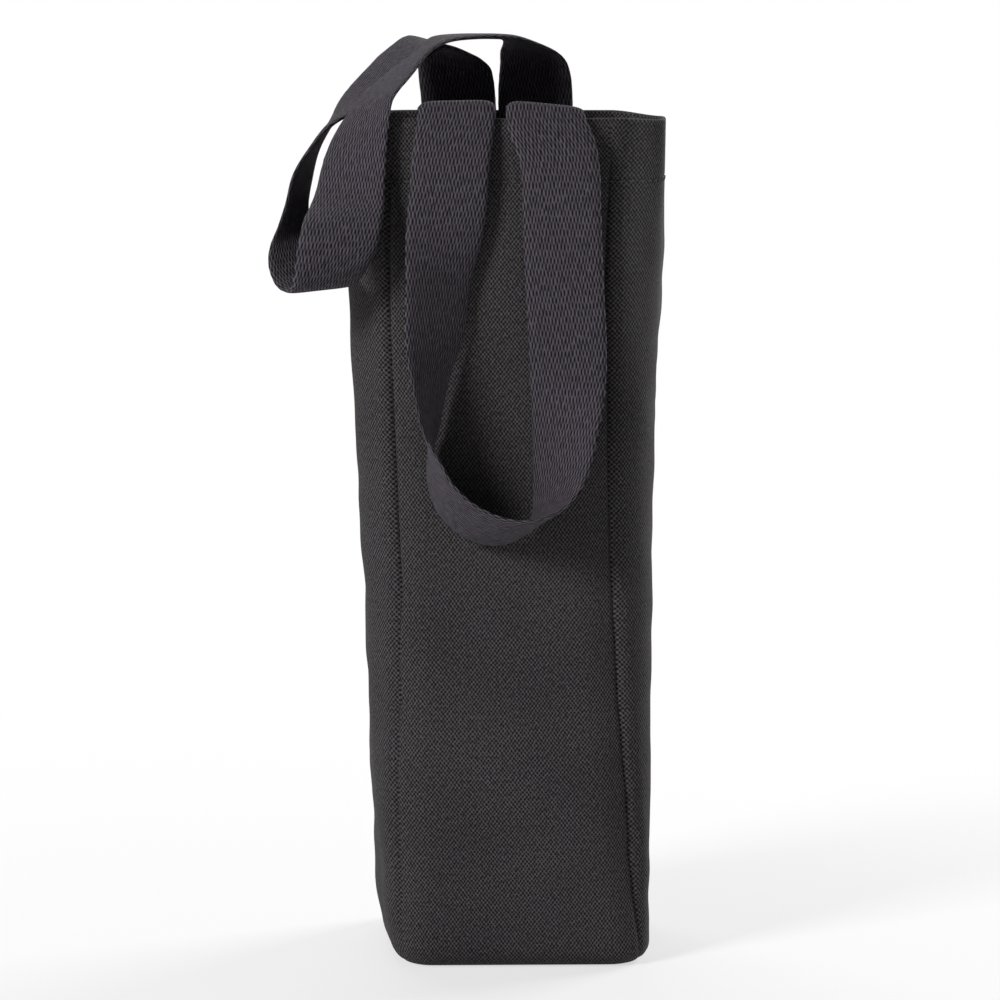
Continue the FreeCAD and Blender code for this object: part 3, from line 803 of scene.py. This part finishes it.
backHandle = {
    "tabs": ((-16.2, -1), (9.9, 1)),   # place across and outer side
    "tabDepth": 36.7,
    "bend": 281.8,                     # height at which the webbing leaves the wall
    "outerEdge": (                     # pixel and depth
        (424, 84, 37), (421, 56, 36), (411, 36, 33), (392, 46, 25), (373, 65, 17),
        (353, 86, 10), (338, 106, 4), (330, 125, 1), (319, 146, 0), (313, 168, -1),
        (308, 192, -5), (307, 215, -13), (320, 240, -21), (336, 264, -29), (347, 282, -39),
        (353, 284, -47), (361, 270, -52), (370, 254, -53), (376, 238, -52.5), (381, 222, -51.5),
        (384.5, 205, -48.5), (385.5, 186, -46.5), (386.5, 160, -45), (388, 140, -44), (390, 120, -43.5),
        (392, 101, -42.5), (396, 91, -39.5), (404, 82, -34.5), (414, 70, -28), (423, 58, -22),
        (434, 47, -15), (450, 40, -8), (474, 37, 1), (502, 36.5, 9), (526, 40, 18),
    ),
    "innerEdge": (                     # the same stations
        (490, 88, 37), (486, 66, 34), (468, 54, 21), (445, 47, 9), (418, 62, 3),
        (390, 88, -4), (356, 111, -14), (329, 125, -22), (311, 148, -23), (294.5, 173, -25),
        (288.5, 200, -28), (280, 226, -32), (272, 250, -36), (275, 277, -41), (287, 291, -46),
        (295, 289, -54), (299, 276, -58), (301, 258, -58), (303, 240, -56), (304, 222, -52),
        (311, 205, -40), (317, 186, -34.5), (323, 160, -30.5), (332, 138, -26.5), (343, 119, -23),
        (358, 100, -20), (372, 88, -16.5), (387, 75.5, -11.5), (403, 63, -5), (416, 53, 1.5),
        (425, 45, 9), (430, 39, 14), (446, 36.5, 22), (474, 36, 30), (505, 38, 37),
    ),
    "return": (                        # edges of the turn down into the right tab, mm
        ((19.3, 27, 298), (-1.5, 39.5, 298)), ((21.7, 33.5, 290), (-2.3, 39, 290)),
    ),
}


def backStations():
    stations = seenStations(backHandle)
    stations += [(Vector(outer) * mm, Vector(inner) * mm) for outer, inner in backHandle["return"]]
    heights = (*strap["tabHeights"], backHandle["bend"])
    ends = []
    for x, outer in backHandle["tabs"]:
        ends.append([tabPair(x, backHandle["tabDepth"], z, outer) for z in heights])
    return ends[0] + stations + ends[1][::-1]


frontStrap, frontLength = strapPiece("frontHandle", frontStations())
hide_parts("front_handle_loop", "front_handle_left_end", "front_handle_right_end")
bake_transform(frontStrap, "bag", "front_handle", start=(0, -0.0380, 0.2803), end=(0, -0.0405, 0.2803))
backStrap, backLength = strapPiece("backHandle", backStations())
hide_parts("back_handle_loop", "back_handle_left_end", "back_handle_right_end")
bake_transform(backStrap, "bag", "back_handle", start=(0, 0.0367, 0.2808), end=(0, 0.0323, 0.2834))
print("handles made")


def hemStitches():
    height = rim - hemRow["drop"]
    sizes = smoothAt(bag["levels"], height)
    sides = [ringSpot(side, *sizes, 0, height)[1] for side in range(4)]
    total = sum(sides)
    count = round(total / hemRow["pitch"])
    most = 0.99999                     # keeps a place on its own side
    bm = bmesh.new()

    def spotAt(walk):
        walk %= total
        for side, length in enumerate(sides):
            if walk < length:
                spot = ringSpot(side + min(walk / length, most), *sizes, hemRow["sink"], height)[0]
                return settle(spot + foldAt(spot))
            walk -= length

    for number in range(count):
        walk = total * number / count
        start = spotAt(walk - hemRow["length"] / 2)
        end = spotAt(walk + hemRow["length"] / 2)
        run = end - start
        parts = hemRow["segments"]
        made = bmesh.ops.create_uvsphere(bm, u_segments=parts, v_segments=parts, radius=0.5)["verts"]
        turn = run.to_track_quat("Z", "Y").to_matrix()
        scale = Matrix.Diagonal((hemRow["thick"], hemRow["thick"], run.length))
        lie = Matrix.Translation((start + end) / 2 * mm) @ (turn @ scale * mm).to_4x4()
        bmesh.ops.transform(bm, matrix=lie, verts=made)
    uv = bm.loops.layers.uv.new("weave")
    for face in bm.faces:
        for corner in face.loops:
            corner[uv].uv = (corner.vert.co.x + corner.vert.co.y, corner.vert.co.z)
    return finishPiece("hemStitching", bm, thread)


stitches = hemStitches()
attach(stitches, "bag")
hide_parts("hem_stitching")
print("hem stitched")


studio = {
    "floor": (0.86, 0.86, 0.86),
    "floorRoughness": 0.9,
    "floorHalf": 6,                    # metres
    "floorWhite": 0.62,                # share of plain white in the floor beside the bag
    "whiteFrom": (0.10, 0.50),         # where the floor turns all white, metres from the bag
    "world": 0.10,
    "lamps": (                         # place, aim, size and power
        ((-1.4, -1.4, 1.2), (0, 0, 0.15), 0.6, 37),
        ((1.3, 1.2, 0.9), (0, 0, 0.15), 0.9, 32),
        ((-0.3, 1.2, 1.9), (0, 0, 0.2), 1.2, 18),
    ),
}


def seenRay(tree):
    # rays that show the background: straight, mirrored or through glass
    light = tree.nodes.new("ShaderNodeLightPath")
    seen = calc(tree, "MAXIMUM", light.outputs["Is Camera Ray"], light.outputs["Is Glossy Ray"])
    return calc(tree, "MAXIMUM", seen, light.outputs["Is Transmission Ray"])


def floorMaterial():
    material = bpy.data.materials.new("floor")
    material.use_nodes = True
    tree = material.node_tree
    shader = tree.nodes["Principled BSDF"]
    shader.inputs["Base Color"].default_value = (*studio["floor"], 1)
    shader.inputs["Roughness"].default_value = studio["floorRoughness"]
    shader.inputs["Specular IOR Level"].default_value = 0.0
    place = tree.nodes.new("ShaderNodeTexCoord")
    away = tree.nodes.new("ShaderNodeVectorMath")
    away.operation = "LENGTH"
    tree.links.new(place.outputs["Object"], away.inputs[0])
    share = tree.nodes.new("ShaderNodeMapRange")
    share.interpolation_type = "SMOOTHSTEP"
    tree.links.new(away.outputs["Value"], share.inputs["Value"])
    near, far = studio["whiteFrom"]
    span = (("From Min", near), ("From Max", far), ("To Min", studio["floorWhite"]), ("To Max", 1.0))
    for label, value in span:
        share.inputs[label].default_value = value
    white = tree.nodes.new("ShaderNodeEmission")
    mix = tree.nodes.new("ShaderNodeMixShader")
    tree.links.new(calc(tree, "MULTIPLY", seenRay(tree), share.outputs["Result"]), mix.inputs[0])
    tree.links.new(shader.outputs[0], mix.inputs[1])
    tree.links.new(white.outputs[0], mix.inputs[2])
    tree.links.new(mix.outputs[0], tree.nodes["Material Output"].inputs["Surface"])
    return material


def makeStudio():
    bm = bmesh.new()
    bmesh.ops.create_grid(bm, x_segments=1, y_segments=1, size=studio["floorHalf"])
    floor = finishPiece("floor", bm, floorMaterial(), smooth=False)
    world = bpy.data.worlds.new("studio")
    world.use_nodes = True
    background = world.node_tree.nodes["Background"]
    background.inputs["Color"].default_value = (1, 1, 1, 1)
    strength = calc(world.node_tree, "MAXIMUM", seenRay(world.node_tree), studio["world"])
    world.node_tree.links.new(strength, background.inputs["Strength"])
    bpy.context.scene.world = world
    for number, (place, aim, size, power) in enumerate(studio["lamps"]):
        data = bpy.data.lights.new(f"lamp{number}", "AREA")
        data.size = size
        data.energy = power
        lamp = bpy.data.objects.new(f"lamp{number}", data)
        lamp.location = place
        lamp.rotation_euler = (Vector(aim) - Vector(place)).to_track_quat("-Z", "Y").to_euler()
        bpy.context.collection.objects.link(lamp)


makeCamera()
makeStudio()
bpy.context.scene.view_settings.view_transform = "Standard"
print("scene ready")
